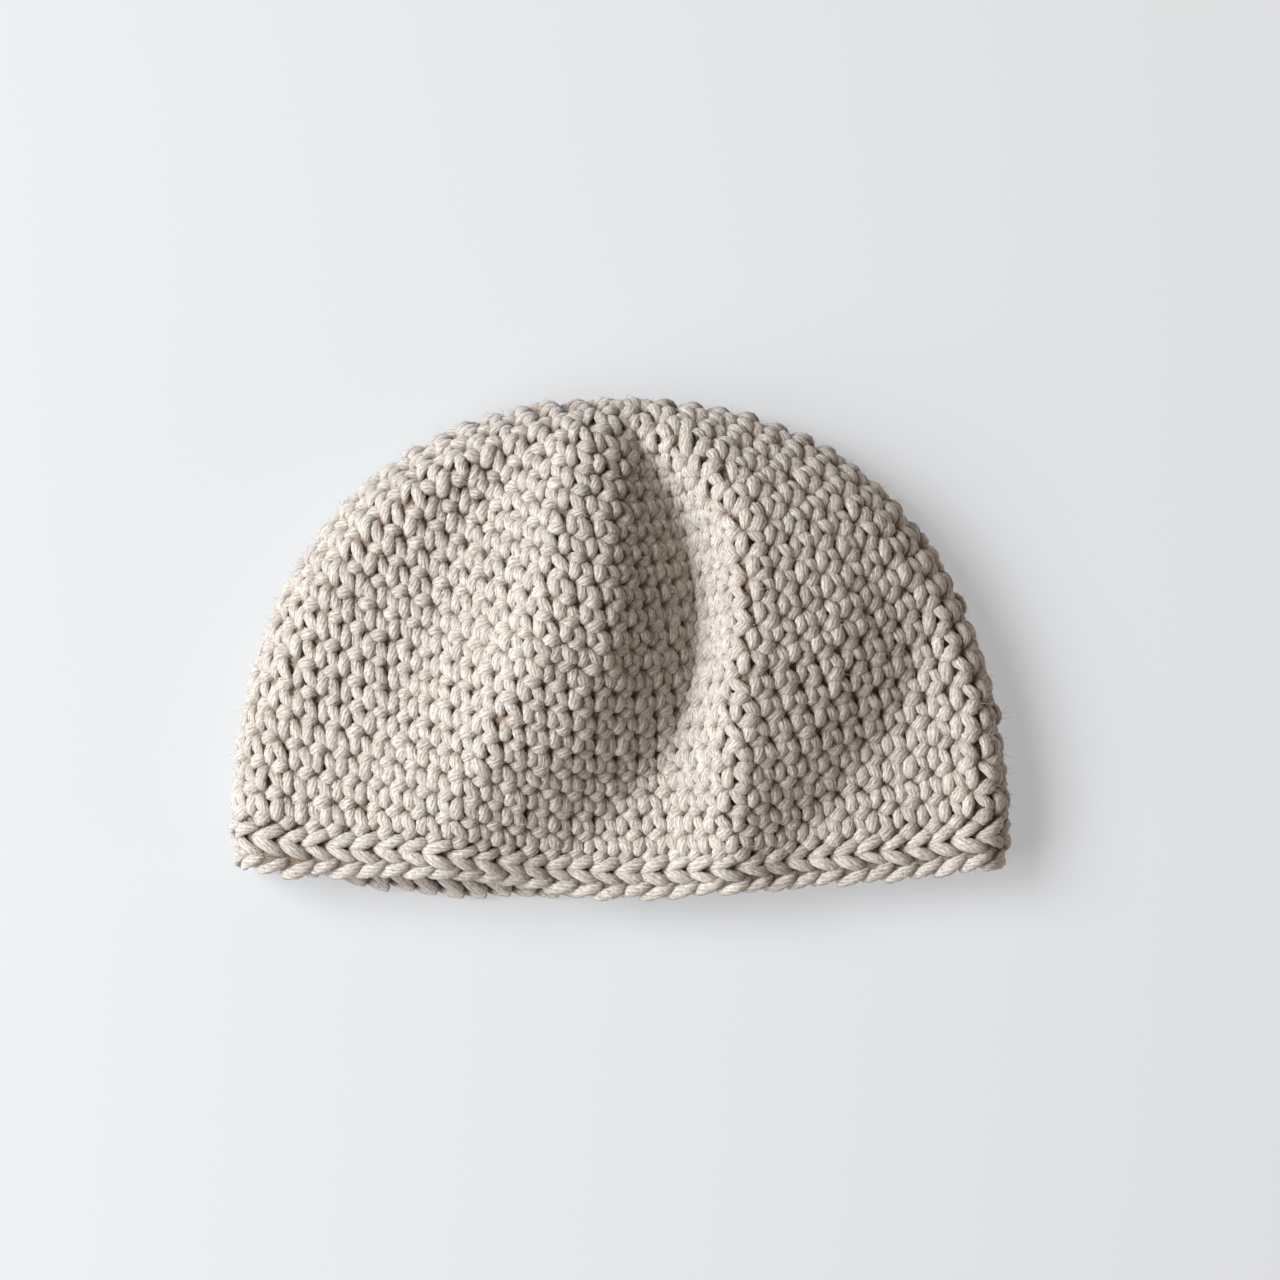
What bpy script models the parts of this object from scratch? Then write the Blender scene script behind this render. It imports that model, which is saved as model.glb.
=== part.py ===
"""A crocheted beanie lying flat on its side, in metres with +Z up.

The crown is one soft wall of single crochet worked in rounds, and its rim carries a slip-stitched
edge band. +X runs to the right along the rim, +Y from the rim towards the closed end of the crown,
and the under side of the hat rests on Z = 0.
"""
import math

import bpy
import numpy as np

# Outer sizes of the hat as it lies
HAT_WIDTH = 0.262
CROWN_LENGTH = 0.1522
SIDE_LENGTH = 0.0050
RIM_SAG = 0.0098
RIM_TWIST = 0.0036
OUTLINE_POWER = 2.3
ROUND_BOW = 2.4

# The fabric
WALL = 0.007
EDGE_RADIUS = 0.0060
EDGE_SWELL = 0.0036
SWELL_DEPTH = 0.007
FOLD_HEIGHT = 0.028
BAND_HEIGHT = 0.0125
SEAM_GAP = 0.0006

# How finely the wall is faceted
CROWN_ROUNDS = 24
END_CROWDING = 0.4
BAND_ROUNDS = 2
SEAM_STEP = 0.0010
SPAN_STEPS = 5
UNDER_STEPS = 22
OUTLINE_STEPS = 400
PROFILE_STEPS = 401

# Each fold of the upper layer runs from the crown to the rim. "across" is where it lies on a round,
# from -1 at the left edge to 1 at the right edge, and "rise" is its height as a share of FOLD_HEIGHT,
# both at the five stations, which are shares of the way from the closed end to the rim.
STATIONS = (0.10, 0.35, 0.60, 0.80, 1.00)
FOLDS = (
    {"name": "left shoulder",
     "across": (-0.93, -0.90, -0.90, -0.90, -0.90), "rise": (0.16, 0.46, 0.38, 0.26, 0.10)},
    {"name": "left dip",
     "across": (-0.84, -0.68, -0.62, -0.68, -0.74), "rise": (0.18, 0.38, 0.44, 0.40, 0.16)},
    {"name": "left ridge",
     "across": (-0.58, -0.28, -0.325, -0.43, -0.53), "rise": (0.44, 1.08, 1.12, 0.82, 0.34)},
    {"name": "left brow",
     "across": (-0.14, -0.06, -0.12, -0.27, -0.44), "rise": (0.38, 0.98, 0.94, 0.58, 0.26)},
    {"name": "left foot",
     "across": (0.36, 0.33, 0.23, 0.01, -0.22), "rise": (0.00, -0.06, -0.06, 0.00, 0.00)},
    {"name": "right flank",
     "across": (0.46, 0.38, 0.26, 0.18, 0.16), "rise": (0.04, 0.02, 0.00, 0.04, 0.04)},
    {"name": "right ridge",
     "across": (0.70, 0.55, 0.38, 0.33, 0.32), "rise": (0.36, 0.96, 1.00, 0.70, 0.16)},
    {"name": "right brow",
     "across": (0.84, 0.80, 0.70, 0.46, 0.42), "rise": (0.24, 0.58, 0.58, 0.46, 0.12)},
    {"name": "right foot",
     "across": (0.95, 0.95, 0.93, 0.66, 0.50), "rise": (0.04, 0.06, 0.04, 0.04, 0.04)},
)
FOLD_ROUNDING = 0.0075
MOST_ROUNDING = 0.30
FOLD_FADE = 0.012
FOLD_START = 0.12
TWIST_REACH = 0.55

# Colour and finish of the yarn
CROWN_COLOUR = (0.62, 0.55, 0.48, 1.0)
BAND_COLOUR = (0.66, 0.59, 0.52, 1.0)
YARN_ROUGHNESS = 0.95

# The fabric's middle surface, worked out from the sizes above
HALF_WIDTH = (HAT_WIDTH - WALL) / 2
DOME_LENGTH = CROWN_LENGTH - WALL / 2
FULL_REACH = DOME_LENGTH + SIDE_LENGTH + RIM_SAG
TOP_Y = (FULL_REACH - WALL / 2) / 2
CORNER_Y = TOP_Y - DOME_LENGTH
QUARTER_TURN = EDGE_RADIUS * math.pi / 2
FULL_PATH = QUARTER_TURN + FULL_REACH - EDGE_RADIUS


def smooth_step(x):
    """0 below 0 and 1 above 1, with level ends."""
    x = np.clip(x, 0.0, 1.0)
    return x * x * (3.0 - 2.0 * x)


def outline_path():
    """The right half of the outline, from the closed end down to the rim, and its length so far."""
    angle = np.linspace(0.0, math.pi / 2, OUTLINE_STEPS)
    power = 2.0 / OUTLINE_POWER
    x = np.append(HALF_WIDTH * np.sin(angle) ** power, HALF_WIDTH)
    y = CORNER_Y + DOME_LENGTH * np.clip(np.cos(angle), 0.0, 1.0) ** power
    y = np.append(y, CORNER_Y - SIDE_LENGTH)
    return x, y, np.append(0.0, np.cumsum(np.hypot(np.diff(x), np.diff(y))))


OUTLINE_X, OUTLINE_Y, OUTLINE_RUN = outline_path()


def outline_point(share):
    """Where a round meets the right edge of the hat."""
    run = share * OUTLINE_RUN[-1]
    return np.interp(run, OUTLINE_RUN, OUTLINE_X), np.interp(run, OUTLINE_RUN, OUTLINE_Y)


def middle_reach(share):
    """How far a round lies from the closed end along the middle of the hat, seen from above."""
    path = share * FULL_PATH
    if path < QUARTER_TURN:
        return EDGE_RADIUS * (1.0 - math.cos(path / EDGE_RADIUS))
    return EDGE_RADIUS + path - QUARTER_TURN


def edge_depth(x, y):
    """How far a point lies inside the outline, nearly exact close to the outline."""
    u = np.abs(x) / HALF_WIDTH
    v = np.maximum(y - CORNER_Y, 0.0) / DOME_LENGTH
    level = np.maximum(u**OUTLINE_POWER + v**OUTLINE_POWER, 1e-9) ** (1.0 / OUTLINE_POWER)
    slope_x = (u / level) ** (OUTLINE_POWER - 1.0) / HALF_WIDTH
    slope_y = (v / level) ** (OUTLINE_POWER - 1.0) / DOME_LENGTH
    return np.maximum(1.0 - level, 0.0) / np.maximum(np.hypot(slope_x, slope_y), 1.0)


def along_folds(column, share):
    """One column of every fold at a share, on the smooth curve through its stations."""
    share = max(share, STATIONS[0])
    curves = [np.polyfit(STATIONS, fold[column], len(STATIONS) - 1) for fold in FOLDS]
    return np.array([np.polyval(curve, share) for curve in curves])


def fold_height(share, across):
    """Height of the folds over the flat fabric: straight slopes, rounded as a thick fabric bends."""
    places = np.concatenate([[-1.0], along_folds("across", share), [1.0]])
    rises = np.concatenate([[0.0], along_folds("rise", share), [0.0]])
    fine = np.linspace(-1.0, 1.0, PROFILE_STEPS)
    half_round = max(outline_point(share)[0], EDGE_RADIUS)
    rounding = min(FOLD_ROUNDING / half_round, MOST_ROUNDING)
    window = np.hanning(2 * round(rounding / (fine[1] - fine[0])) + 3)
    rounded = np.convolve(np.interp(fine, places, rises), window / window.sum(), mode="same")
    return FOLD_HEIGHT * np.interp(across, fine, rounded) * smooth_step(share / FOLD_START)


def swelling(depth):
    """How far the folded edge stands above the flat fabric inside it, highest at SWELL_DEPTH."""
    near = depth / SWELL_DEPTH
    return EDGE_SWELL * (near * np.exp(1.0 - near)) ** 2


def layer_points(share, across, upper):
    """Points of the middle surface along one round, in the upper or the under layer."""
    side = 1.0 if upper else -1.0
    end_x, end_y = outline_point(share)
    end_down = TOP_Y - end_y
    middle = middle_reach(share)
    reach = middle + (math.hypot(end_x, end_down) - middle) * np.abs(across) ** ROUND_BOW
    twist = smooth_step((1.0 - np.abs(across)) / (1.0 - TWIST_REACH)) * smooth_step(-across / TWIST_REACH)
    reach = reach - side * RIM_TWIST * share**2 * twist
    angle = across * math.atan2(end_x, end_down)
    x = reach * np.sin(angle)
    y = TOP_Y - reach * np.cos(angle)
    depth = edge_depth(x, y)
    turn = np.sqrt(1.0 - (1.0 - np.minimum(depth / EDGE_RADIUS, 1.0)) ** 2)
    z = WALL / 2 + EDGE_RADIUS * (1.0 + side * turn)
    if upper:
        z = z + fold_height(share, across) * smooth_step(depth / FOLD_FADE) + swelling(depth)
    return np.stack([x, y, z], axis=1)


def upper_steps(share):
    """Places across the upper layer: so many to each span between folds, and crowding to the edges."""
    spans = [-1.0, *along_folds("across", share), 1.0]
    even = np.arange(SPAN_STEPS) / SPAN_STEPS
    left = spans[0] + (spans[1] - spans[0]) * even**2
    right = spans[-1] - (spans[-1] - spans[-2]) * (1.0 - even) ** 2
    middle = [start + (end - start) * even for start, end in zip(spans[1:-2], spans[2:-1])]
    return np.concatenate([left, *middle, right, [1.0]])


def under_steps():
    """Places across the under layer, from right to left, crowding to the edges."""
    even = np.linspace(1.0, -1.0, UNDER_STEPS + 1)
    return np.sin(even * math.pi / 2)


def round_points(share):
    """One closed round: over the upper layer from left to right, and back along the under layer."""
    over = layer_points(share, upper_steps(share), True)
    under = layer_points(share, under_steps()[1:-1], False)
    return np.concatenate([over, under])


def yarn_material(name, colour):
    """Matt yarn of one colour."""
    material = bpy.data.materials.new(name)
    material.use_nodes = True
    shader = material.node_tree.nodes["Principled BSDF"]
    shader.inputs["Base Color"].default_value = colour
    shader.inputs["Roughness"].default_value = YARN_ROUGHNESS
    shader.inputs["Metallic"].default_value = 0.0
    return material


def fabric_wall(name, shares, closed_end, colour, collection):
    """A wall of fabric lofted through rounds at the given shares, thickened about its middle."""
    rounds = [round_points(share) for share in shares]
    size = len(rounds[0])
    points = [tuple(point) for one_round in rounds for point in one_round]
    faces = []
    for start in range(0, size * (len(rounds) - 1), size):
        for k in range(size):
            after = (k + 1) % size
            faces.append((start + k, start + size + k, start + size + after, start + after))
    if closed_end:
        tip = len(points)
        points.append((0.0, TOP_Y, WALL / 2 + EDGE_RADIUS))
        faces.extend((tip, k, (k + 1) % size) for k in range(size))
    mesh = bpy.data.meshes.new(name)
    mesh.from_pydata(points, [], faces)
    mesh.shade_smooth()
    mesh.materials.append(yarn_material(name + "_yarn", colour))
    piece = bpy.data.objects.new(name, mesh)
    collection.objects.link(piece)
    solid = piece.modifiers.new("Fabric thickness", "SOLIDIFY")
    solid.thickness = WALL
    solid.offset = 0.0
    return piece


def make_crown(collection):
    """The single crochet wall, from the closed end to the seam with the band."""
    seam = 1.0 - (BAND_HEIGHT + SEAM_GAP) / FULL_PATH
    even = np.arange(1, CROWN_ROUNDS + 1) / CROWN_ROUNDS
    shares = list(seam * even * (1.0 - END_CROWDING * (1.0 - even)))
    shares.insert(-1, seam - SEAM_STEP / FULL_PATH)
    return fabric_wall("crown", shares, True, CROWN_COLOUR, collection)


def make_edge_band(collection):
    """The slip-stitched band round the rim, carrying on from the crown."""
    seam = 1.0 - BAND_HEIGHT / FULL_PATH
    shares = [seam + (1.0 - seam) * k / BAND_ROUNDS for k in range(BAND_ROUNDS + 1)]
    shares.insert(1, seam + SEAM_STEP / FULL_PATH)
    return fabric_wall("edge_band", shares, False, BAND_COLOUR, collection)


def main():
    for old in list(bpy.data.objects):
        bpy.data.objects.remove(old)
    collection = bpy.data.collections.new("beanie")
    bpy.context.scene.collection.children.link(collection)
    make_crown(collection)
    make_edge_band(collection)


main()
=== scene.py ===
import math

import bpy
import numpy as np
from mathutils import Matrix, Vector


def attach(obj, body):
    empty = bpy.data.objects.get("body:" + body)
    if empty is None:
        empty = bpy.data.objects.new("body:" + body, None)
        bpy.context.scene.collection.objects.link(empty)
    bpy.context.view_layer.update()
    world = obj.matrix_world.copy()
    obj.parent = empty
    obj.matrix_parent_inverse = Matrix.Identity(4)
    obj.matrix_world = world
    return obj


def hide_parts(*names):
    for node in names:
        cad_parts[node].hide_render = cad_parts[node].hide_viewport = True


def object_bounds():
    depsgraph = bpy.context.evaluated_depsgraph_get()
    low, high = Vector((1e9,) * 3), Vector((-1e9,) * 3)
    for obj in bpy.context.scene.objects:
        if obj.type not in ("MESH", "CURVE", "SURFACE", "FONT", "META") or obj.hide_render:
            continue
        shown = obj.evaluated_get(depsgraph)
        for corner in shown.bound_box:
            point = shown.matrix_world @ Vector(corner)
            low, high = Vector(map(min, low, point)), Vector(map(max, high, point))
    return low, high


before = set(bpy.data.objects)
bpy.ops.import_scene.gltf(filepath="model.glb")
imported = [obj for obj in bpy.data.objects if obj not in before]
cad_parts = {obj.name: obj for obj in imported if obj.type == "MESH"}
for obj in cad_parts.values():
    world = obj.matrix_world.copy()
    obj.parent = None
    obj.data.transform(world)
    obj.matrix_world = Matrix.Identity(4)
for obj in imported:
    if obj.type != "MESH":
        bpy.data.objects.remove(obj)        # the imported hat: nodes crown and edge_band, lying on the floor
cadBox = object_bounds()

mm = 0.001
draws = np.random.default_rng(7)

# The hat's soft wall, whose middle surface every strand of yarn lies on
wall = {
    "thickness": 0.007,  # fabric, through both faces
    "edgeRadius": 0.0060,  # how tightly the hat bends at its flat edges
    "sideLength": 0.0050,  # straight part of each side above the rim
    "rimSag": 0.0098,  # the rim bows this far below its corners
    "rimTwist": 0.0036,  # the upper rim sits this far up from the under one, at the left
    "outlinePower": 2.3,
    "roundBow": 2.4,
    "bandHeight": 0.0125,  # slip-stitched edging
    "foldHeight": 0.028,
    "foldRounding": 0.0075,
    "mostRounding": 0.30,
    "foldFade": 0.012,
    "foldStart": 0.12,
    "twistReach": 0.55,
    "edgeSwell": 0.0036,  # the folded edge stands this far above the flat fabric inside it
    "swellDepth": 0.007,  # how far inside the outline the swelling is highest
    "stations": (0.10, 0.35, 0.60, 0.80, 1.00),  # shares of the way from closed end to rim
    "folds": (  # where each fold lies across a round, -1 to 1, and its share of foldHeight
        {"name": "left shoulder",
         "across": (-0.93, -0.90, -0.90, -0.90, -0.90), "rise": (0.16, 0.46, 0.38, 0.26, 0.10)},
        {"name": "left dip",
         "across": (-0.84, -0.68, -0.62, -0.68, -0.74), "rise": (0.18, 0.38, 0.44, 0.40, 0.16)},
        {"name": "left ridge",
         "across": (-0.58, -0.28, -0.325, -0.43, -0.53), "rise": (0.44, 1.08, 1.12, 0.82, 0.34)},
        {"name": "left brow",
         "across": (-0.14, -0.06, -0.12, -0.27, -0.44), "rise": (0.38, 0.98, 0.94, 0.58, 0.26)},
        {"name": "left foot",
         "across": (0.36, 0.33, 0.23, 0.01, -0.22), "rise": (0.00, -0.06, -0.06, 0.00, 0.00)},
        {"name": "right flank",
         "across": (0.46, 0.38, 0.26, 0.18, 0.16), "rise": (0.04, 0.02, 0.00, 0.04, 0.04)},
        {"name": "right ridge",
         "across": (0.70, 0.55, 0.38, 0.33, 0.32), "rise": (0.36, 0.96, 1.00, 0.70, 0.16)},
        {"name": "right brow",
         "across": (0.84, 0.80, 0.70, 0.46, 0.42), "rise": (0.24, 0.58, 0.58, 0.46, 0.12)},
        {"name": "right foot",
         "across": (0.95, 0.95, 0.93, 0.66, 0.50), "rise": (0.04, 0.06, 0.04, 0.04, 0.04)},
    ),
    "gridRounds": 160,  # how finely the surface is sampled
    "gridSteps": 720,
    "firstShare": 0.004,
    "pastEnd": 0.5,  # grid rounds by which strands may run on past the closed end
    "pastRim": 4.0,  # and past the rim
    "seamGap": 0.0006,  # between the crown and the edging worked into it
}
halfWidth = cadBox[1][0] - wall["thickness"] / 2
topY = cadBox[1][1] - wall["thickness"] / 2
fullReach = 2 * topY + wall["thickness"] / 2
domeLength = fullReach - wall["sideLength"] - wall["rimSag"]
cornerY = topY - domeLength
quarterTurn = wall["edgeRadius"] * math.pi / 2
fullPath = quarterTurn + fullReach - wall["edgeRadius"]
seamShare = 1.0 - wall["bandHeight"] / fullPath


def smoothStep(x):
    x = np.clip(x, 0.0, 1.0)
    return x * x * (3.0 - 2.0 * x)


def outlinePath():  # right half of the outline, closed end to rim, and the length so far
    angle = np.linspace(0.0, math.pi / 2, 400)
    power = 2.0 / wall["outlinePower"]
    x = np.append(halfWidth * np.sin(angle) ** power, halfWidth)
    y = cornerY + domeLength * np.clip(np.cos(angle), 0.0, 1.0) ** power
    y = np.append(y, cornerY - wall["sideLength"])
    return x, y, np.append(0.0, np.cumsum(np.hypot(np.diff(x), np.diff(y))))


outlineX, outlineY, outlineRun = outlinePath()


def outlinePoint(share):
    run = share * outlineRun[-1]
    return np.interp(run, outlineRun, outlineX), np.interp(run, outlineRun, outlineY)


def middleReach(share):
    path = share * fullPath
    if path < quarterTurn:
        return wall["edgeRadius"] * (1.0 - math.cos(path / wall["edgeRadius"]))
    return wall["edgeRadius"] + path - quarterTurn


def edgeDepth(x, y):
    power = wall["outlinePower"]
    u = np.abs(x) / halfWidth
    v = np.maximum(y - cornerY, 0.0) / domeLength
    level = np.maximum(u**power + v**power, 1e-9) ** (1.0 / power)
    slopeX = (u / level) ** (power - 1.0) / halfWidth
    slopeY = (v / level) ** (power - 1.0) / domeLength
    return np.maximum(1.0 - level, 0.0) / np.maximum(np.hypot(slopeX, slopeY), 1.0)


def alongFolds(column, share):
    stations = wall["stations"]
    share = max(share, stations[0])
    curves = [np.polyfit(stations, fold[column], len(stations) - 1) for fold in wall["folds"]]
    return np.array([np.polyval(curve, share) for curve in curves])


def foldRise(share, across):
    places = np.concatenate([[-1.0], alongFolds("across", share), [1.0]])
    rises = np.concatenate([[0.0], alongFolds("rise", share), [0.0]])
    fine = np.linspace(-1.0, 1.0, 401)
    halfRound = max(outlinePoint(share)[0], wall["edgeRadius"])
    rounding = min(wall["foldRounding"] / halfRound, wall["mostRounding"])
    window = np.hanning(2 * round(rounding / (fine[1] - fine[0])) + 3)
    rounded = np.convolve(np.interp(fine, places, rises), window / window.sum(), mode="same")
    return wall["foldHeight"] * np.interp(across, fine, rounded) * smoothStep(share / wall["foldStart"])


def layerPoints(share, across, upper):  # middle surface along one round, upper or under layer
    side = 1.0 if upper else -1.0
    endX, endY = outlinePoint(share)
    endDown = topY - endY
    middle = middleReach(share)
    reach = middle + (math.hypot(endX, endDown) - middle) * np.abs(across) ** wall["roundBow"]
    twist = smoothStep((1.0 - np.abs(across)) / (1.0 - wall["twistReach"]))
    twist = twist * smoothStep(-across / wall["twistReach"])
    reach = reach - side * wall["rimTwist"] * share**2 * twist
    angle = across * math.atan2(endX, endDown)
    x = reach * np.sin(angle)
    y = topY - reach * np.cos(angle)
    depth = edgeDepth(x, y)
    turn = np.sqrt(1.0 - (1.0 - np.minimum(depth / wall["edgeRadius"], 1.0)) ** 2)
    z = wall["thickness"] / 2 + wall["edgeRadius"] * (1.0 + side * turn)
    if upper:
        z = z + foldRise(share, across) * smoothStep(depth / wall["foldFade"])
        near = depth / wall["swellDepth"]
        z = z + wall["edgeSwell"] * (near * np.exp(1.0 - near)) ** 2
    return np.stack([x, y, z], axis=1)


def closedRound(share):  # from the middle underneath, out to the left, over the top and back
    across = np.sin(np.linspace(-0.5, 0.5, 601) * math.pi)
    under = np.sin(np.linspace(0.0, 0.5, 151) * math.pi)
    first = layerPoints(share, -under[:-1], False)
    over = layerPoints(share, across, True)
    last = layerPoints(share, under[::-1][1:], False)
    return np.concatenate([first, over, last])


def unit(vectors):
    return vectors / np.maximum(np.linalg.norm(vectors, axis=-1, keepdims=True), 1e-12)


def sampleFabric():
    shares = np.linspace(wall["firstShare"], 1.0, wall["gridRounds"])
    even = np.arange(wall["gridSteps"]) / wall["gridSteps"]
    points = np.empty((len(shares), len(even), 3))
    lengths = np.empty(len(shares))
    for row, share in enumerate(shares):
        loop = closedRound(share)
        run = np.append(0.0, np.cumsum(np.linalg.norm(np.diff(loop, axis=0), axis=1)))
        lengths[row] = run[-1]
        for axis in range(3):
            points[row, :, axis] = np.interp(even * run[-1], run, loop[:, axis])
    across = unit(np.roll(points, -1, axis=1) - np.roll(points, 1, axis=1))
    down = unit(np.gradient(points, axis=0))
    out = unit(np.cross(down, across))
    return {"shares": shares, "points": points, "lengths": lengths,
            "across": across, "down": down, "out": out}


fabric = sampleFabric()
print("fabric sampled", fabric["points"].shape)


def readFabric(name, share, part):  # share of the way to the rim, part of the way round
    grid = fabric[name]
    rows, steps = grid.shape[:2]
    row = (share - fabric["shares"][0]) / (fabric["shares"][1] - fabric["shares"][0])
    row = np.clip(row, -wall["pastEnd"], rows - 1.0 + wall["pastRim"])
    low = np.clip(np.floor(row).astype(int), 0, rows - 2)
    blend = (row - low)[..., None]
    step = (part % 1.0) * steps
    left = np.floor(step).astype(int) % steps
    right = (left + 1) % steps
    slide = (step - np.floor(step))[..., None]
    top = grid[low, left] * (1 - slide) + grid[low, right] * slide
    foot = grid[low + 1, left] * (1 - slide) + grid[low + 1, right] * slide
    return top * (1 - blend) + foot * blend


def onFabric(share, part, height):
    out = unit(readFabric("out", share, part))
    return readFabric("points", share, part) + out * height[..., None]


def roundLength(share):
    return np.interp(share, fabric["shares"], fabric["lengths"])


def restOnFloor(points, softness=0.8 * mm):  # yarn under the hat is pressed flat, not sunk in
    z = points[..., 2]
    low = z < softness
    points[..., 2] = np.where(low, softness * np.exp((np.where(low, z, 0.0) - softness) / softness), z)
    return points


# Every strand of yarn. The rows named wander are how unevenly the stitches are worked
strand = {
    "wanderAcross": 0.03,  # in stitches
    "wanderDown": 0.03,  # in rounds
    "wanderSlant": 0.06,
    "wanderHeight": 0.09,  # shares of the height and of the radius
    "wanderRadius": 0.07,
    "hangPlace": 0.3,  # where along a stitch its hang is measured, in stitches
    "tip": 0.7,  # rounded end of a strand, in radii
    "oval": 1.22,
    "plyDepth": 0.05,
    "lumps": 0.035,
    "twist": (220.0, 40.0),  # radians a metre, and how far it varies
    "tones": (1.0, 0.045),
    "mapStart": 200.0,  # each strand's finish starts anywhere up to this far along
}


def smoothPath(table, steps):  # even steps along a smooth curve through a table's rows
    columns = np.array([table[name] for name in ("across", "down", "height", "radius")]).T
    ends = [2 * columns[:1] - columns[1:2], columns, 2 * columns[-1:] - columns[-2:-1]]
    knots = np.concatenate(ends)
    places = np.linspace(0.0, len(columns) - 1.0, steps)
    first = np.minimum(places.astype(int), len(columns) - 2)
    t = (places - first)[:, None]
    a, b, c, d = (knots[first + k] for k in range(4))
    return 0.5 * (2 * b + (c - a) * t + (2 * a - 5 * b + 4 * c - d) * t**2 + (3 * b - a - 3 * c + d) * t**3)


def strandTubes(bundle):  # points, their heights off the fabric, and the length run so far
    centres, radii, sideways, out = (bundle[name] for name in ("centres", "radii", "sideways", "out"))
    sides, twist, oval = bundle["sides"], bundle["twist"], bundle["oval"]
    count, steps = radii.shape
    along = unit(np.gradient(centres, axis=1))
    side = unit(sideways - (sideways * along).sum(-1, keepdims=True) * along)
    up = np.cross(along, side)
    hops = np.linalg.norm(np.diff(centres, axis=1), axis=2)
    run = np.concatenate([np.zeros((count, 1)), np.cumsum(hops, axis=1)], axis=1)
    turn = 2 * math.pi * np.arange(sides) / sides
    angle = turn + twist[:, None, None] * run[..., None] + draws.uniform(0, 2 * math.pi, (count, 1, 1))
    ply = 1.0 + bundle["plyDepth"] * np.cos(bundle["plies"] * turn)
    ply = ply + draws.normal(0, bundle["lumps"], angle.shape)
    reach = (radii[..., None] * ply)[..., None]
    ring = centres[:, :, None] + reach * (np.cos(angle)[..., None] * side[:, :, None] * oval
                                          + np.sin(angle)[..., None] * up[:, :, None] / oval)
    tips = np.stack([centres[:, 0] - along[:, 0] * radii[:, :1] * strand["tip"],
                     centres[:, -1] + along[:, -1] * radii[:, -1:] * strand["tip"]], axis=1)
    points = np.concatenate([ring.reshape(count, -1, 3), tips], axis=1)
    lift = ((ring - centres[:, :, None]) * out[:, :, None]).sum(-1) + bundle["heights"][..., None]
    lift = np.concatenate([lift.reshape(count, -1), bundle["heights"][:, [0, -1]]], axis=1)
    return points, lift, run


def tubeFaces(steps, sides):  # one strand's quads and end fans, and each corner's ring and side
    quads, corners = [], []
    for ring in range(steps - 1):
        for k in range(sides):
            after = (k + 1) % sides
            quads.append((ring * sides + k, ring * sides + after,
                          (ring + 1) * sides + after, (ring + 1) * sides + k))
            corners += [(ring, k), (ring, k + 1), (ring + 1, k + 1), (ring + 1, k)]
    fans = []
    last = (steps - 1) * sides
    for k in range(sides):
        after = (k + 1) % sides
        fans.append((steps * sides, after, k))
        fans.append((last + k, last + after, steps * sides + 1))
        corners += [(0, k + 0.5), (0, k + 1), (0, k)]
        corners += [(steps - 1, k), (steps - 1, k + 1), (steps - 1, k + 0.5)]
    return np.array(quads), np.array(fans), np.array(corners)


# Loose fibres that stand off the yarn
fuzz = {
    "perStrand": 4.8,
    "length": 2.4 * mm,
    "radius": 0.07 * mm,
    "steps": 3,
    "sides": 3,
    "bend": 0.9,
    "tones": (1.05, 0.06),
    "fewestSides": 12,  # only strands this finely made carry fibres
    "facing": 0.35,  # how far a root has to face away from the hat
    "leanAlong": 1.0,  # a fibre starts out from the strand, leaning along it and aside
    "leanAside": 0.6,
    "outward": 0.8,
    "curlOut": 0.3,
    "lengths": (0.5, 1.3),  # shares of the length
    "rootDepth": 0.08,  # share of the length that is hidden in the strand
    "taper": 0.5,
    "lift": 5.0 * mm,  # fibres count as this high, so they never get the painted shade between strands
    "roots": [],  # filled as strands are made: places, ways out and ways along
}


def gatherFuzz(bundle, rings):
    outward = unit(rings - bundle["centres"][:, :, None])
    facing = (outward * bundle["out"][:, :, None]).sum(-1)
    number, step, side = np.nonzero(facing > fuzz["facing"])
    wanted = min(round(fuzz["perStrand"] * len(rings)), len(number))
    if bundle["sides"] < fuzz["fewestSides"] or wanted == 0:
        return
    chosen = draws.choice(len(number), wanted, replace=False)
    number, step, side = number[chosen], step[chosen], side[chosen]
    along = unit(np.gradient(bundle["centres"], axis=1))[number, step]
    fuzz["roots"].append((rings[number, step, side], outward[number, step, side], along))


def fuzzStrands():
    root, out, along = (np.concatenate(part) for part in zip(*fuzz["roots"]))
    count = len(root)
    lean = draws.normal(0, fuzz["leanAlong"], (count, 1)) * along
    lean = lean + draws.normal(0, fuzz["leanAside"], (count, 1)) * np.cross(out, along)
    start = unit(out * fuzz["outward"] + lean)
    curl = unit(draws.normal(0, 1.0, (count, 3)) + fuzz["curlOut"] * out)
    length = fuzz["length"] * draws.uniform(*fuzz["lengths"], (count, 1, 1))
    t = np.linspace(-fuzz["rootDepth"], 1.0, fuzz["steps"])[:, None]
    centres = root[:, None] + length * (start[:, None] * t + fuzz["bend"] * 0.5 * curl[:, None] * t**2)
    taper = np.linspace(1.0, fuzz["taper"], fuzz["steps"])
    return {
        "centres": centres, "radii": np.tile(fuzz["radius"] * taper, (count, 1)),
        "out": np.repeat(out[:, None], fuzz["steps"], axis=1),
        "sideways": np.repeat(curl[:, None], fuzz["steps"], axis=1),
        "sides": fuzz["sides"], "plies": 1, "plyDepth": 0.0, "lumps": 0.0, "oval": 1.0,
        "slew": 0.0, "twist": np.zeros(count), "heights": np.full((count, fuzz["steps"]), fuzz["lift"]),
        "offset": draws.uniform(0, strand["mapStart"], count), "tone": draws.normal(*fuzz["tones"], count),
    }


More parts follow.
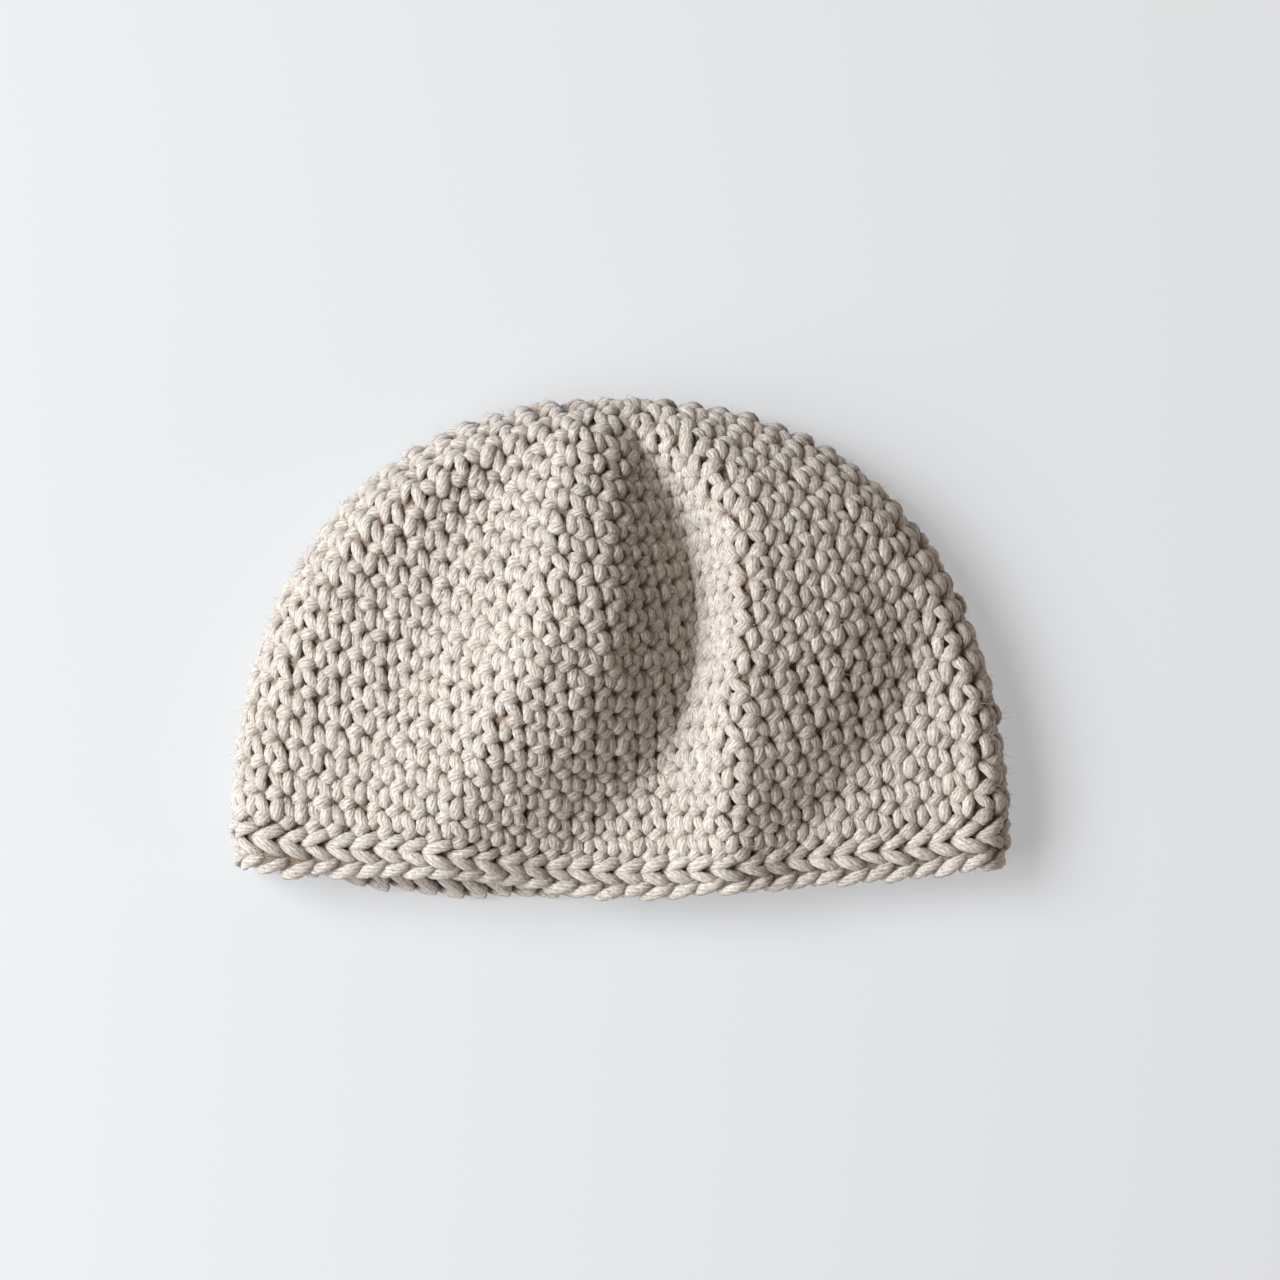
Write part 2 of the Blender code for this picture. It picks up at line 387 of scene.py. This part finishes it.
def yarnMesh(name, bundles, material):  # one mesh from several bundles of like strands
    vertices, faces, maps, tones, paintedShadeLifts = [], [], [], [], []
    base = 0
    for bundle in bundles:
        count, steps = bundle["radii"].shape
        sides = bundle["sides"]
        points, lift, run = strandTubes(bundle)
        points = restOnFloor(points)
        gatherFuzz(bundle, points[:, :steps * sides].reshape(count, steps, sides, 3))
        quads, fans, corners = tubeFaces(steps, sides)
        size = points.shape[1]
        starts = base + size * np.arange(count)[:, None, None]
        ringOf = corners[:, 0].astype(int)
        u = run[:, ringOf] + bundle["offset"][:, None]
        v = np.broadcast_to(corners[:, 1] / sides, u.shape) * 2 * math.pi
        v = v * bundle["radii"].mean(1)[:, None]
        v = v + bundle["slew"] * u
        quadFaces = (quads[None] + starts).reshape(-1, 4).tolist()
        fanFaces = (fans[None] + starts).reshape(-1, 3).tolist()
        split = len(quads) * 4
        both = np.stack([u, v], axis=-1) / mm
        faces += quadFaces + fanFaces
        maps += [both[:, :split].reshape(-1, 2), both[:, split:].reshape(-1, 2)]
        vertices.append(points.reshape(-1, 3))
        tones.append(np.repeat(bundle["tone"], size))
        paintedShadeLifts.append(np.abs(lift.ravel()) / mm)
        base += count * size
    mesh = bpy.data.meshes.new(name)
    mesh.from_pydata(np.concatenate(vertices).tolist(), [], faces)
    mesh.shade_smooth()
    layer = mesh.uv_layers.new(name="strandMap")
    layer.data.foreach_set("uv", np.concatenate(maps).astype(np.float32).ravel())
    for label, values in (("strandTone", tones), ("paintedShadeLift", paintedShadeLifts)):
        kept = mesh.attributes.new(label, "FLOAT", "POINT")
        kept.data.foreach_set("value", np.concatenate(values).astype(np.float32))
    mesh.materials.append(material)
    piece = bpy.data.objects.new(name, mesh)
    bpy.context.scene.collection.objects.link(piece)
    print(name, "triangles", len(mesh.loops) - 2 * len(mesh.polygons))
    return piece


def belongs(piece, replaced):  # every piece of yarn rides with the hat, and the CAD part it takes the place of is hidden
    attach(piece, "root")
    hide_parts(replaced)


# Yarn finish
yarn = {
    "colours": ((0.36, 0.275, 0.21), (0.56, 0.485, 0.42), (0.82, 0.80, 0.775)),  # from the ply grooves to the crests: the yarn's own streaks, with painted shade in the grooves where the bump is lowest
    "stops": (0.0, 0.42, 1.0),
    # painted shade between strands: the yarn's colour is darkened the lower a strand sits off the fabric's
    # middle, fully at the first height below and not at all at the second
    "paintedShadeTint": (0.47, 0.355, 0.275),  # painted shade: this much of the colour is left where a strand sits deep between strands
    "paintedShadeFrom": 0.3,  # mm off the fabric's middle, where the painted shade is full
    "paintedShadeTo": 3.4,
    "roughness": 0.92,
    "sheen": 0.55,
    "sheenRoughness": 0.5,
    "specular": 0.12,
    "plyAlong": 0.45,  # how much the ply lines are drawn out along the strand
    "plyTurn": 0.15,
    "plyScale": 0.28,
    "plyWander": 3.0,
    "plyBreak": 2.2,
    "plyDetail": 2.0,
    "noiseDetail": 3.0,
    "noiseRoughness": 0.65,
    "noiseRange": (0.34, 0.66),
    "fibreScale": (0.40, 1.3),
    "fibreTurn": 0.24,
    "fibreShare": 0.62,
    "hairScale": (0.9, 2.2),
    "hairTurn": 0.45,
    "hairShare": 0.45,
    "streakRange": (0.16, 0.84),
    "bump": 0.8,
    "bumpHeight": 0.3 * mm,
}


def node(tree, kind, **sockets):
    made = tree.nodes.new(kind)
    for name, value in sockets.items():
        made.inputs[name].default_value = value
    return made


def ramp(tree, stops):
    made = tree.nodes.new("ShaderNodeValToRGB")
    made.color_ramp.elements.remove(made.color_ramp.elements[1])
    for number, (place, colour) in enumerate(stops):
        stop = made.color_ramp.elements[0] if number == 0 else made.color_ramp.elements.new(place)
        stop.position = place
        stop.color = (*colour, 1.0)
    return made


def stretched(tree, where, scale, turn):  # the strand's own map, drawn out and turned a little askew
    stretch = tree.nodes.new("ShaderNodeMapping")
    stretch.inputs["Rotation"].default_value = (0.0, 0.0, turn)
    stretch.inputs["Scale"].default_value = (*scale, 1.0)
    tree.links.new(where.outputs["UV"], stretch.inputs["Vector"])
    return stretch.outputs["Vector"]


def plyLines(tree, where):
    lines = node(tree, "ShaderNodeTexWave", Scale=yarn["plyScale"], Distortion=yarn["plyWander"],
                 Detail=yarn["plyDetail"])
    lines.bands_direction = "Y"
    lines.inputs["Detail Scale"].default_value = yarn["plyBreak"]
    tree.links.new(stretched(tree, where, (yarn["plyAlong"], 1.0), yarn["plyTurn"]), lines.inputs["Vector"])
    return lines.outputs["Fac"]


def fibreNoise(tree, where, scale, turn):
    noise = node(tree, "ShaderNodeTexNoise", Scale=1.0, Detail=yarn["noiseDetail"],
                 Roughness=yarn["noiseRoughness"])
    tree.links.new(stretched(tree, where, scale, turn), noise.inputs["Vector"])
    return rescaled(tree, noise.outputs["Fac"], *yarn["noiseRange"])


def mixed(tree, first, second, share):
    made = node(tree, "ShaderNodeMix", Factor=share)
    tree.links.new(first, made.inputs["A"])
    tree.links.new(second, made.inputs["B"])
    return made.outputs["Result"]


def rescaled(tree, value, low, high):
    made = tree.nodes.new("ShaderNodeMapRange")
    made.inputs["From Min"].default_value = low
    made.inputs["From Max"].default_value = high
    tree.links.new(value, made.inputs["Value"])
    return made.outputs["Result"]


def ownValue(tree, name):
    made = tree.nodes.new("ShaderNodeAttribute")
    made.attribute_name = name
    return made.outputs["Fac"]


def yarnMaterial(name, colours):
    material = bpy.data.materials.new(name)
    material.use_nodes = True
    tree = material.node_tree
    link = tree.links.new
    shader = tree.nodes["Principled BSDF"]
    shader.inputs["Roughness"].default_value = yarn["roughness"]
    shader.inputs["Sheen Weight"].default_value = yarn["sheen"]
    shader.inputs["Sheen Roughness"].default_value = yarn["sheenRoughness"]
    shader.inputs["Specular IOR Level"].default_value = yarn["specular"]
    where = tree.nodes.new("ShaderNodeUVMap")
    where.uv_map = "strandMap"
    fibres = fibreNoise(tree, where, yarn["fibreScale"], yarn["fibreTurn"])
    hairs = fibreNoise(tree, where, yarn["hairScale"], yarn["hairTurn"])
    plies = mixed(tree, plyLines(tree, where), fibres, yarn["fibreShare"])
    streaks = rescaled(tree, mixed(tree, plies, hairs, yarn["hairShare"]), *yarn["streakRange"])
    # the same pattern drives the bump, so the darker colour is partly the yarn's own streaks and partly
    # painted shade in the bump's grooves
    tint = ramp(tree, zip(yarn["stops"], colours))
    link(streaks, tint.inputs["Fac"])
    # painted shade: the colour is darkened where the yarn sits low between strands, by each strand's height
    # off the fabric's middle
    depth = ramp(tree, ((0.0, yarn["paintedShadeTint"]), (1.0, (1.0, 1.0, 1.0))))
    lift = rescaled(tree, ownValue(tree, "paintedShadeLift"), yarn["paintedShadeFrom"], yarn["paintedShadeTo"])
    link(lift, depth.inputs["Fac"])
    paintedShadeColour = tree.nodes.new("ShaderNodeVectorMath")
    paintedShadeColour.operation = "MULTIPLY"
    link(tint.outputs["Color"], paintedShadeColour.inputs[0])
    link(depth.outputs["Color"], paintedShadeColour.inputs[1])
    shaded = tree.nodes.new("ShaderNodeVectorMath")
    shaded.operation = "SCALE"
    link(paintedShadeColour.outputs["Vector"], shaded.inputs[0])
    link(ownValue(tree, "strandTone"), shaded.inputs["Scale"])
    link(shaded.outputs["Vector"], shader.inputs["Base Color"])
    bump = node(tree, "ShaderNodeBump", Strength=yarn["bump"], Distance=yarn["bumpHeight"])
    link(streaks, bump.inputs["Height"])
    link(bump.outputs["Normal"], shader.inputs["Normal"])
    return material


oatmealYarn = yarnMaterial("oatmealYarn", yarn["colours"])

# Single crochet in rounds. Places are in stitch widths across and rounds down; heights and radii in mm
crochet = {
    "rounds": 22,
    "pitch": 8.3 * mm,  # width of a stitch
    "lean": -0.32,  # each round's stitches start this far along, in stitches
    "fewest": 6,  # stitches in the first round
    "uprightLeg": {
        "across": (0.02, 0.01, 0.00, 0.00, 0.00, -0.01, -0.02),
        "down": (-0.05, 0.10, 0.28, 0.50, 0.72, 0.88, 0.98),
        "height": (-1.6, 0.0, 1.8, 2.6, 2.5, 1.4, -0.8),
        "radius": (1.3, 1.6, 1.8, 1.85, 1.8, 1.5, 1.1)},
    "slantLeg": {
        "across": (0.14, 0.21, 0.32, 0.45, 0.58, 0.69, 0.77),
        "down": (-0.05, 0.10, 0.26, 0.45, 0.63, 0.78, 0.88),
        "height": (-1.8, -0.4, 1.5, 2.4, 2.4, 1.4, -0.8),
        "radius": (1.3, 1.5, 1.7, 1.8, 1.75, 1.5, 1.1)},
    "topLoop": {
        "across": (0.10, 0.25, 0.45, 0.65, 0.80),
        "down": (1.16, 1.10, 1.00, 0.91, 0.85),
        "height": (-0.4, 1.3, 2.1, 1.4, -0.4),
        "radius": (1.6, 2.1, 2.35, 2.1, 1.5),
        "slew": 0.9},
    "backBar": {
        "across": (-0.10, 0.10, 0.35, 0.60, 0.80),
        "down": (0.42, 0.50, 0.54, 0.50, 0.42),
        "height": (-0.4, -1.5, -1.9, -1.5, -0.4),
        "radius": (1.2, 1.5, 1.7, 1.5, 1.2)},
    "middle": 0.25,  # of a stitch, by which it is sorted to the upper or the under layer
    "topReach": 0.29,  # part of a round, each way from the middle of the upper layer, in full detail
    "topDetail": {"sides": 12, "uprightLeg": 10, "slantLeg": 10, "topLoop": 7},
    "underDetail": {"sides": 8, "uprightLeg": 8, "slantLeg": 8, "topLoop": 6},
    "barSteps": 5,
    "barSides": 6,
    "hang": 0.85,  # how far stitches turn to hang straight towards the rim
    "mostHang": 0.6,
    "leastLevel": 0.3,  # how steeply a round may run before its hang stops growing
    "groups": (0, 9, 13, 16, 19, 22),  # rounds at which one mesh ends and the next begins
}


def roundShares():
    return np.linspace(0.0, seamShare - wall["seamGap"] / fullPath, crochet["rounds"] + 1)


def stitchCount(share):
    return max(crochet["fewest"], round(roundLength(max(share, wall["firstShare"])) / crochet["pitch"]))


def straightHang(share, part):  # stitches sideways a round that bring a leg straight towards the rim
    across, down, out = (readFabric(name, share, part) for name in ("across", "down", "out"))
    level = unit(np.cross(out, np.array([0.0, -1.0, 0.0])))
    sideways = np.maximum((across * level).sum(-1), crochet["leastLevel"])
    shift = -(down * level).sum(-1) / sideways * fullPath / crochet["rounds"] / crochet["pitch"]
    return np.clip(shift, -crochet["mostHang"], crochet["mostHang"])


def strandBundle(table, steps, count, start, shares, offsets, sides, flatWay, hang=0.0):
    path = smoothPath(table, steps)
    each = len(offsets)
    middle = shares[0] + 0.5 * (shares[1] - shares[0])
    hung = straightHang(np.full(each, middle), (start + offsets + strand["hangPlace"]) / count)
    shear = hang * hung[:, None]
    u = path[:, 0] + draws.normal(0, strand["wanderAcross"], (each, 1))
    u = u + (shear + draws.normal(0, strand["wanderSlant"], (each, 1))) * (path[:, 1] - 0.5)
    w = path[:, 1] + draws.normal(0, strand["wanderDown"], (each, 1))
    lift = np.where(path[:, 2] > 0, 1.0 + draws.normal(0, strand["wanderHeight"], (each, 1)), 1.0)
    heights = path[:, 2] * lift * mm
    radii = path[:, 3] * (1.0 + draws.normal(0, strand["wanderRadius"], (each, 1))) * mm
    share = shares[0] + w * (shares[1] - shares[0])
    part = (start + offsets[:, None] + u) / count
    return {
        "centres": onFabric(share, part, heights), "radii": radii, "out": readFabric("out", share, part),
        "sideways": readFabric(flatWay, share, part), "sides": sides, "plies": sides // 2,
        "plyDepth": strand["plyDepth"], "lumps": strand["lumps"], "oval": strand["oval"],
        "twist": draws.normal(*strand["twist"], each),
        "offset": draws.uniform(0, strand["mapStart"], each), "tone": draws.normal(*strand["tones"], each),
        "heights": np.broadcast_to(heights, radii.shape), "slew": table.get("slew", 0.0),
    }


def roundBundles(pair, count, shift):  # one round of stitches, finer on the upper layer
    each = np.arange(count)
    onTop = np.abs((shift + each + crochet["middle"]) / count % 1.0 - 0.5) < crochet["topReach"]
    bundles = []
    for chosen, detail in ((each[onTop], crochet["topDetail"]), (each[~onTop], crochet["underDetail"])):
        for table, flatWay in (("uprightLeg", "across"), ("slantLeg", "across"), ("topLoop", "down")):
            bundles.append(strandBundle(crochet[table], detail[table], count, shift, pair, chosen,
                                        detail["sides"], flatWay, crochet["hang"]))
    bundles.append(strandBundle(crochet["backBar"], crochet["barSteps"], count, shift, pair, each,
                                crochet["barSides"], "down"))
    return bundles


def crownStitches():
    shares = roundShares()
    shift = 0.0
    for number, (first, last) in enumerate(zip(crochet["groups"][:-1], crochet["groups"][1:])):
        bundles = []
        for k in range(first, last):
            pair = (shares[k], shares[k + 1])
            bundles += roundBundles(pair, stitchCount(0.5 * (pair[0] + pair[1])), shift)
            shift += crochet["lean"]
        belongs(yarnMesh("crown_stitches_%d" % (number + 1), bundles, oatmealYarn), "crown")


crownStitches()
print("crown stitched")

# Slip-stitched edging. Down runs 0 to 1 from its seam to the rim
edging = {
    "upperLeaf": {
        "across": (-0.64, -0.46, -0.15, 0.20, 0.50, 0.70),
        "down": (0.40, 0.35, 0.25, 0.15, 0.09, 0.08),
        "height": (-0.2, 1.6, 2.6, 2.6, 1.7, -0.4),
        "radius": (1.1, 1.5, 1.75, 1.8, 1.5, 1.1)},
    "lowerLeaf": {
        "across": (-0.64, -0.44, -0.10, 0.24, 0.54, 0.76),
        "down": (0.38, 0.41, 0.48, 0.56, 0.62, 0.66),
        "height": (-0.2, 1.6, 2.5, 2.3, 1.3, -0.4),
        "radius": (1.1, 1.45, 1.7, 1.7, 1.45, 1.1)},
    "edgeLeaf": {
        "across": (-0.46, -0.24, 0.12, 0.46, 0.74, 0.92),
        "down": (0.98, 0.97, 0.91, 0.82, 0.75, 0.70),
        "height": (-1.2, 0.2, 1.3, 1.6, 1.1, -0.6),
        "radius": (1.1, 1.5, 1.7, 1.7, 1.5, 1.1)},
    "innerLeaf": {
        "across": (-0.50, -0.30, 0.00, 0.30, 0.50),
        "down": (0.86, 0.84, 0.74, 0.64, 0.60),
        "height": (-1.2, -1.9, -2.2, -1.9, -0.9),
        "radius": (1.1, 1.5, 1.8, 1.5, 1.1)},
    "innerTop": {
        "across": (-0.50, -0.30, 0.00, 0.30, 0.50),
        "down": (0.24, 0.28, 0.36, 0.44, 0.46),
        "height": (-0.8, -1.7, -2.1, -1.7, -0.8),
        "radius": (1.1, 1.5, 1.8, 1.5, 1.1)},
    "leafSteps": 9,
    "sides": 12,
    "shown": {"edgeLeaf": 5.0, "innerLeaf": -5.0},  # mm by which the rim's own strands count as less deep, so they get less of the painted shade between strands
}


def bandStitches():
    pair = (seamShare, 1.0)
    count = stitchCount(seamShare)
    each = np.arange(count)
    bundles = []
    for table in ("upperLeaf", "lowerLeaf", "edgeLeaf", "innerLeaf", "innerTop"):
        bundles.append(strandBundle(edging[table], edging["leafSteps"], count, 0.0, pair, each,
                                    edging["sides"], "down"))
        bundles[-1]["heights"] = bundles[-1]["heights"] + edging["shown"].get(table, 0.0) * mm
    belongs(yarnMesh("edging_stitches", bundles, oatmealYarn), "edge_band")


bandStitches()
print("edging stitched")

belongs(yarnMesh("loose_fibres", [fuzzStrands()], oatmealYarn), "crown")
print("fibres laid")

# A thin closed sheet standing for the yarn seen deep between stitches; its colours are darker than the
# yarn's, which is painted shade in those gaps
core = {
    "height": 0.2 * mm,
    "thickness": 1.2 * mm,
    "rimGap": 0.0012,  # how far short of the rim it stops
    "crownRounds": 52,
    "edgingRounds": 7,
    "steps": 200,
    "mapScale": (2.0, 2.2),  # mm of yarn finish to each face, across and down
    # painted shade: much darker than the yarn, for the gaps between stitches
    "colours": ((0.17, 0.12, 0.085), (0.27, 0.195, 0.145), (0.37, 0.285, 0.22)),
}
coreYarnPaintedShade = yarnMaterial("coreYarnPaintedShade", core["colours"])


def coreSheet(name, first, last, rounds, replaced):
    steps = core["steps"]
    share, part = np.meshgrid(np.linspace(first, last, rounds), np.arange(steps) / steps, indexing="ij")
    points = restOnFloor(onFabric(share, part, np.full(share.shape, core["height"])))
    faces = []
    for row in range(rounds - 1):
        for k in range(steps):
            after = (k + 1) % steps
            faces.append((row * steps + k, row * steps + after,
                          (row + 1) * steps + after, (row + 1) * steps + k))
    mesh = bpy.data.meshes.new(name)
    mesh.from_pydata(points.reshape(-1, 3).tolist(), [], faces)
    layer = mesh.uv_layers.new(name="strandMap")
    across = np.tile([0.0, 1.0, 1.0, 0.0], len(faces)) + np.repeat(np.tile(np.arange(steps), rounds - 1), 4)
    down = np.tile([0.0, 0.0, 1.0, 1.0], len(faces)) + np.repeat(np.repeat(np.arange(rounds - 1), steps), 4)
    places = np.stack([across, down], axis=1) * core["mapScale"]
    layer.data.foreach_set("uv", places.astype(np.float32).ravel())
    # the sheet takes none of the height-based painted shade; its own dark colours paint the shade
    for label, value in (("strandTone", 1.0), ("paintedShadeLift", yarn["paintedShadeTo"])):
        kept = mesh.attributes.new(label, "FLOAT", "POINT")
        kept.data.foreach_set("value", np.full(len(mesh.vertices), value, np.float32))
    mesh.shade_smooth()
    mesh.materials.append(coreYarnPaintedShade)
    piece = bpy.data.objects.new(name, mesh)
    bpy.context.scene.collection.objects.link(piece)
    solid = piece.modifiers.new("thickness", "SOLIDIFY")
    solid.thickness = core["thickness"]
    solid.offset = 0.0
    belongs(piece, replaced)


coreSheet("crown_core_painted_shade", wall["firstShare"], seamShare - wall["seamGap"] / fullPath,
          core["crownRounds"], "crown")
coreSheet("edging_core_painted_shade", seamShare, 1.0 - core["rimGap"] / fullPath, core["edgingRounds"], "edge_band")
print("core laid")

# Floor, light and camera
stage = {
    "floorSize": 40.0,
    "floorColour": (0.35, 0.355, 0.36),
    "floorGlow": (0.372, 0.376, 0.388),  # light of the floor's own, so shadows on it stay pale
    "floorGlowStrength": 1.0,
    "floorRoughness": 0.9,
    "worldColour": (1.0, 0.78, 0.60),
    "worldStrength": 0.12,
    "lamps": (  # bearing is anticlockwise from +X, in degrees
        {"name": "window", "bearing": 160, "rise": 39, "distance": 3.0, "size": 1.9,
         "power": 120.0, "colour": (0.94, 0.98, 1.0)},
        {"name": "sideWindow", "bearing": 205, "rise": 36, "distance": 1.4, "size": 0.9,
         "power": 11.0, "colour": (0.94, 0.98, 1.0)},
        {"name": "rightCard", "bearing": 345, "rise": 10, "distance": 2.2, "size": 0.9,
         "power": 7.0, "colour": (1.0, 0.88, 0.76)},
    ),
    "viewCentre": (0.0067, 0.0020),
    "viewWidth": 0.431,  # width of the photographed square at the hat's outline
    "viewLevel": 0.009,
    "cameraHeight": 1.5,
    "filmWidth": 36.0,
}


def setFloor():
    half = stage["floorSize"] / 2
    mesh = bpy.data.meshes.new("floor")
    corners = [(-half, -half, 0), (half, -half, 0), (half, half, 0), (-half, half, 0)]
    mesh.from_pydata(corners, [], [(0, 1, 2, 3)])
    material = bpy.data.materials.new("paleFloor")
    material.use_nodes = True
    tree = material.node_tree
    shader = tree.nodes["Principled BSDF"]
    shader.inputs["Base Color"].default_value = (*stage["floorColour"], 1.0)
    shader.inputs["Emission Color"].default_value = (*stage["floorGlow"], 1.0)
    shader.inputs["Emission Strength"].default_value = stage["floorGlowStrength"]
    shader.inputs["Roughness"].default_value = stage["floorRoughness"]
    mesh.materials.append(material)
    floor = bpy.data.objects.new("floor", mesh)
    bpy.context.scene.collection.objects.link(floor)


def aimAt(thing, place, target):
    thing.location = place
    thing.rotation_euler = (Vector(target) - Vector(place)).to_track_quat("-Z", "Y").to_euler()


def setLights():
    world = bpy.data.worlds.new("softRoom")
    world.use_nodes = True
    sky = world.node_tree.nodes["Background"]
    sky.inputs["Color"].default_value = (*stage["worldColour"], 1.0)
    sky.inputs["Strength"].default_value = stage["worldStrength"]
    bpy.context.scene.world = world
    for lamp in stage["lamps"]:
        light = bpy.data.lights.new(lamp["name"], "AREA")
        light.shape = "DISK"
        light.size = lamp["size"]
        light.energy = lamp["power"]
        light.color = lamp["colour"]
        holder = bpy.data.objects.new(lamp["name"], light)
        bpy.context.scene.collection.objects.link(holder)
        bearing, rise = math.radians(lamp["bearing"]), math.radians(lamp["rise"])
        level = lamp["distance"] * math.cos(rise)
        place = (level * math.cos(bearing), level * math.sin(bearing), lamp["distance"] * math.sin(rise))
        aimAt(holder, place, (0.0, 0.0, 0.0))


def setCamera():
    lens = bpy.data.cameras.new("overhead")
    lens.sensor_width = stage["filmWidth"]
    lens.lens = lens.sensor_width * (stage["cameraHeight"] - stage["viewLevel"]) / stage["viewWidth"]
    camera = bpy.data.objects.new("overhead", lens)
    bpy.context.scene.collection.objects.link(camera)
    camera.location = (*stage["viewCentre"], stage["cameraHeight"])
    bpy.context.scene.camera = camera


setFloor()
setLights()
setCamera()
bpy.context.scene.view_settings.view_transform = "Standard"
print("stage set")
